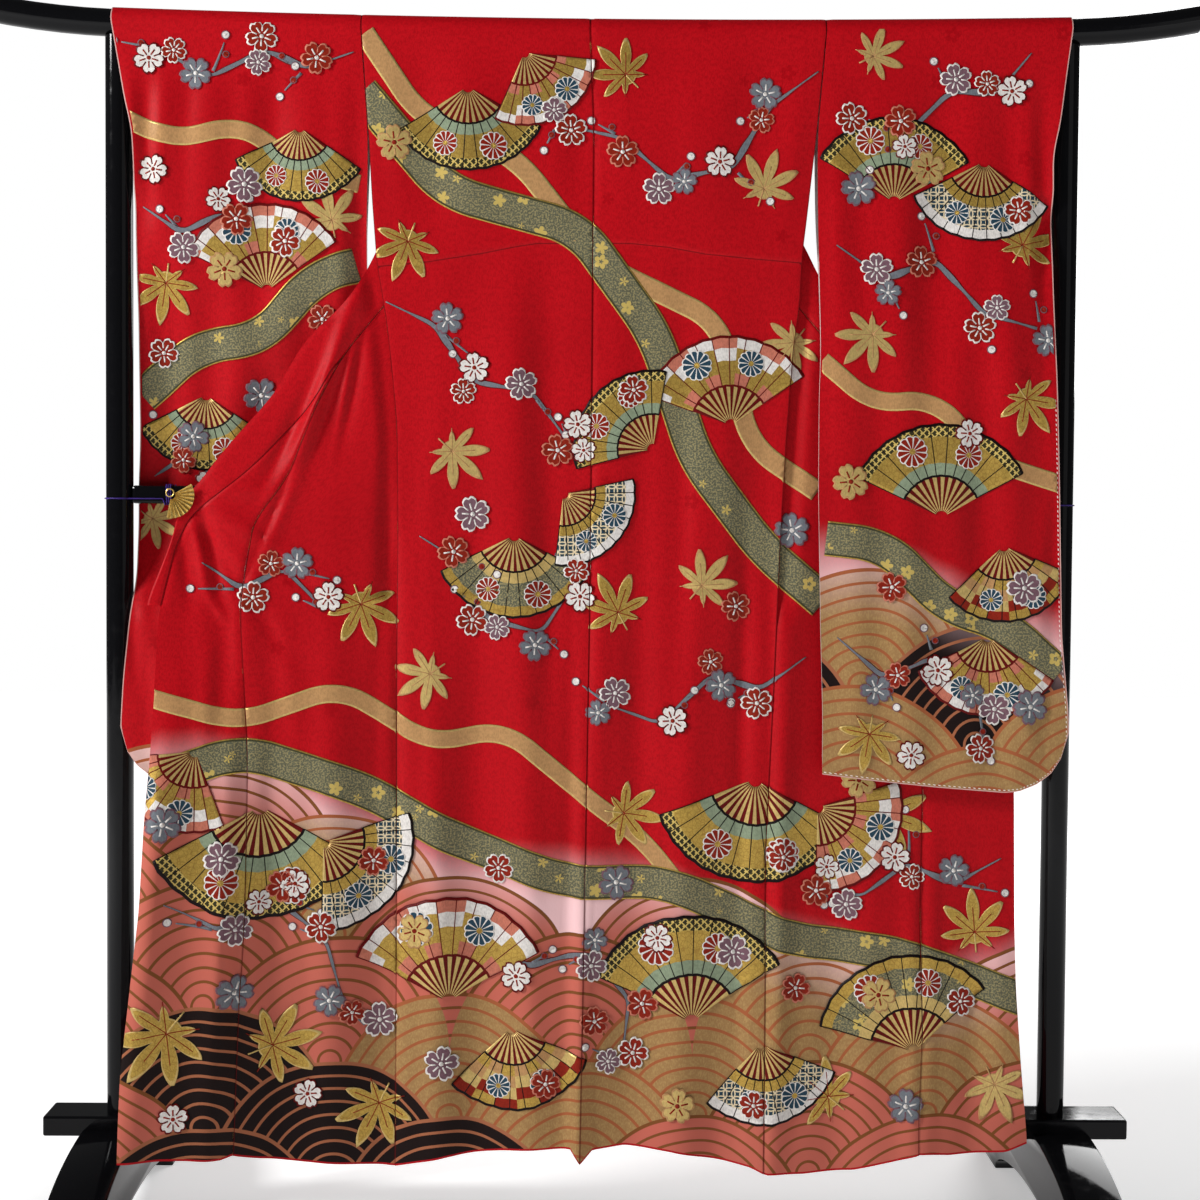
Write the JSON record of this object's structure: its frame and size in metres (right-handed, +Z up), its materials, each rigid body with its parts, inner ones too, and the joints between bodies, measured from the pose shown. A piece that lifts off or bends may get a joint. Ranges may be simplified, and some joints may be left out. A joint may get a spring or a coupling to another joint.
{
  "type": "furisode on kimono stand",
  "caption": "Red silk furisode hung by its long sleeves on a black lacquered kimono stand, its left front drawn out to a gold fan clip.",
  "frame": {"origin": "on the floor under the middle of the stand", "axes": "+Z up, -Y towards the viewer who sees the garment's back, +X to that viewer's right"},
  "size_m": [1.7574, 0.6772, 1.771],
  "materials": {
    "silk": "fine crepe silk with a soft sheen",
    "lacquer": "black lacquer on wood, glossy",
    "gold": "gilt, polished",
    "cord": "twisted purple cord"
  },
  "bodies": {
    "root": {"back_left": "silk", "back_left_top": "silk", "back_right": "silk", "back_right_top": "silk", "front_left": "silk", "front_right": "silk", "shoulder_left": "silk", "shoulder_right": "silk", "okumi_left": "silk", "okumi_right": "silk", "collar_left": "silk", "collar_neck": "silk", "collar_right": "silk", "sleeve_left_back": "silk", "sleeve_left_front": "silk", "sleeve_right_back": "silk", "sleeve_right_front": "silk", "rod": "lacquer", "rail": "lacquer", "post_left": "lacquer", "post_right": "lacquer", "plank": "lacquer", "foot_left": "lacquer", "foot_right": "lacquer", "clip_fan": "gold", "clip_ring": "gold", "cord_post_left": "cord", "cord_post_right": "cord", "cord_wrap_left": "cord", "cord_run_left": "cord"}
  },
  "joints": []
}
